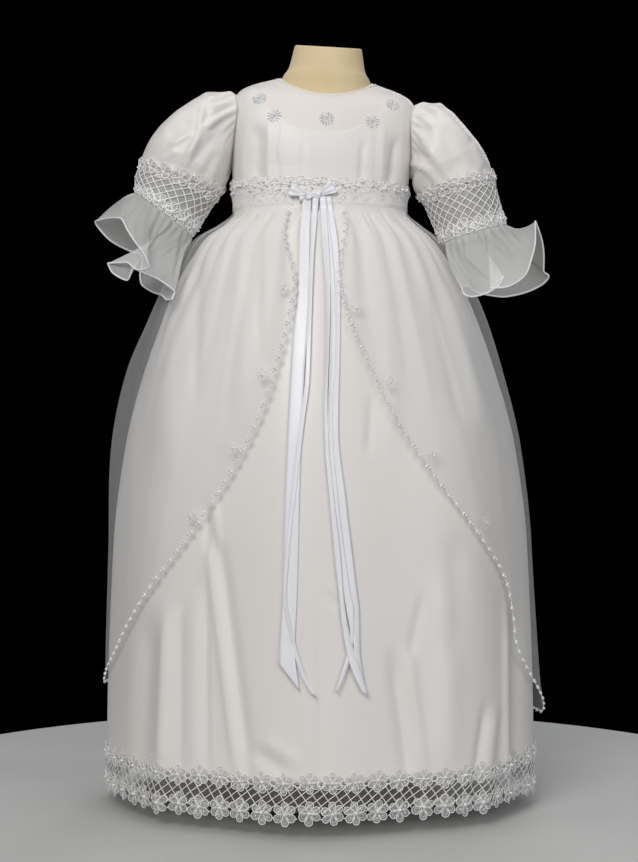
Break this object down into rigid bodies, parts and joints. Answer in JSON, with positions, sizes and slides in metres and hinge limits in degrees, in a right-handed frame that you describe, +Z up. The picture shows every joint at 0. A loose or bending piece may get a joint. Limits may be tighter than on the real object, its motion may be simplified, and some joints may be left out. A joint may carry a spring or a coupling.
{
  "type": "christening gown on a dress form",
  "caption": "Long christening gown in satin with an open sheer overskirt, puffed sleeves, lace cuffs and hem and a ribbon bow, worn by a limbless dress form on a round base",
  "frame": {"origin": "on the floor, under the middle of the stand's round base", "axes": "+Z up along the pole, -Y to the front of the gown, +X to the viewer's right when facing the front"},
  "size_m": [0.5067, 0.4145, 0.8581],
  "materials": {
    "satin": "ivory satin",
    "sheer": "sheer ivory organza",
    "lace": "beaded ivory lace",
    "ribbon": "white satin ribbon",
    "form_cover": "cream cotton jersey",
    "stand_metal": "dark matt paint"
  },
  "bodies": {
    "root": {"bodice_front": "satin", "bodice_back_left": "satin", "bodice_back_right": "satin", "sleeve_left": "satin", "sleeve_right": "satin", "skirt_front": "satin", "skirt_back": "satin", "yoke_front": "sheer", "ruffle_left": "sheer", "ruffle_right": "sheer", "overskirt_left": "sheer", "overskirt_right": "sheer", "waist_lace_front": "lace", "waist_lace_back": "lace", "cuff_left_front": "lace", "cuff_left_back": "lace", "cuff_right_front": "lace", "cuff_right_back": "lace", "hem_lace_front": "lace", "hem_lace_back": "lace", "edging_left": "lace", "edging_right": "lace", "bow": "ribbon", "ribbon_left": "ribbon", "ribbon_left_inner": "ribbon", "ribbon_right": "ribbon", "ribbon_right_inner": "ribbon", "dress_form": "form_cover", "stand": "stand_metal"}
  },
  "joints": []
}
